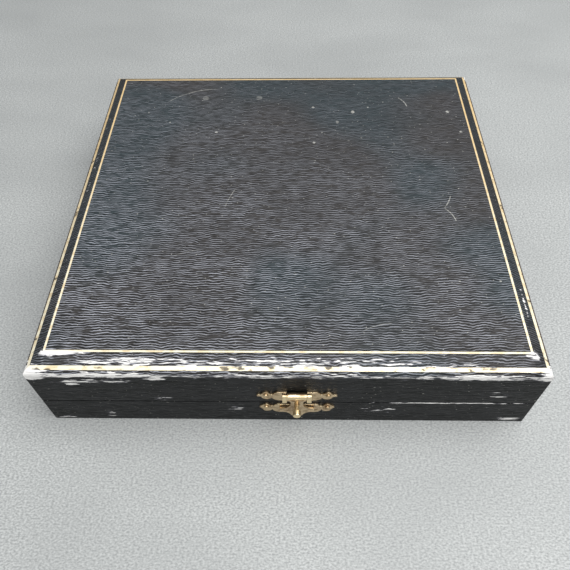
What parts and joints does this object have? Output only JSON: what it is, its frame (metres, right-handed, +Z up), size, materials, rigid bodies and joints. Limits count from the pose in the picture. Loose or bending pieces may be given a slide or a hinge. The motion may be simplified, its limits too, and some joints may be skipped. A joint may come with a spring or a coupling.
{
  "type": "hinged jewelry gift box",
  "caption": "Shallow leather-covered case for a jewelry set: hinged bevelled lid with gilt lines, brass hasp at the front, velvet necklace bed and padded lid inside.",
  "frame": {"origin": "centre of the underside, on the felt that the case stands on", "axes": "+X to the right seen from the clasp side, +Y from the clasp side to the hinge side, +Z up through the lid"},
  "size_m": [0.24, 0.2389, 0.0529],
  "materials": {
    "leatherette": "near-black leather-grained covering paper, straight fine grain, semi-gloss and rubbed",
    "gilt": "gold foil line, worn",
    "wood": "bare softwood, hidden under the covering",
    "card": "pressed card",
    "brass": "pale antique brass, lacquered and tarnished",
    "felt": "matt wool felt",
    "velvet": "cotton velvet",
    "satin": "silk satin"
  },
  "bodies": {
    "base": {"base_rail_front": "wood", "base_rail_back": "wood", "base_rail_left": "wood", "base_rail_right": "wood", "base_bottom_board": "wood", "base_side_cover": "leatherette", "underside_felt": "felt", "base_lining_front": "velvet", "base_lining_back": "velvet", "base_lining_left": "velvet", "base_lining_right": "velvet", "bed_board": "card", "bed_surround": "velvet", "bed_centre": "velvet", "hinge_leaf_base_left": "brass", "hinge_leaf_base_right": "brass", "hinge_pin_left": "brass", "hinge_pin_right": "brass", "hinge_nails_base": "brass", "clasp_lower_plate": "brass", "clasp_nails_lower": "brass"},
    "lid": {"lid_rail_front": "wood", "lid_rail_back": "wood", "lid_rail_left": "wood", "lid_rail_right": "wood", "lid_board": "wood", "lid_top_cover": "leatherette", "lid_side_cover": "leatherette", "gilt_line_inner": "gilt", "gilt_line_outer": "gilt", "lid_lining_front": "satin", "lid_lining_back": "satin", "lid_lining_left": "satin", "lid_lining_right": "satin", "lid_pad_board": "card", "lid_pad": "satin", "hinge_leaf_lid_left": "brass", "hinge_leaf_lid_right": "brass", "hinge_nails_lid": "brass", "clasp_upper_plate": "brass", "clasp_pin": "brass", "clasp_nails_upper": "brass"},
    "hasp": {"hasp_plate": "brass", "hasp_knob": "brass"}
  },
  "joints": [
    {"name": "lid_hinge", "type": "hinge", "parent": "base", "child": "lid", "pos_m": [0, 0.1114, 0.0208], "axis": [-1, 0, 0], "range_deg": [0, 100]},
    {"name": "hasp_hinge", "type": "hinge", "parent": "lid", "child": "hasp", "pos_m": [0.005, -0.1175, 0.0321], "axis": [-1, 0, 0], "range_deg": [0, 145]}
  ]
}
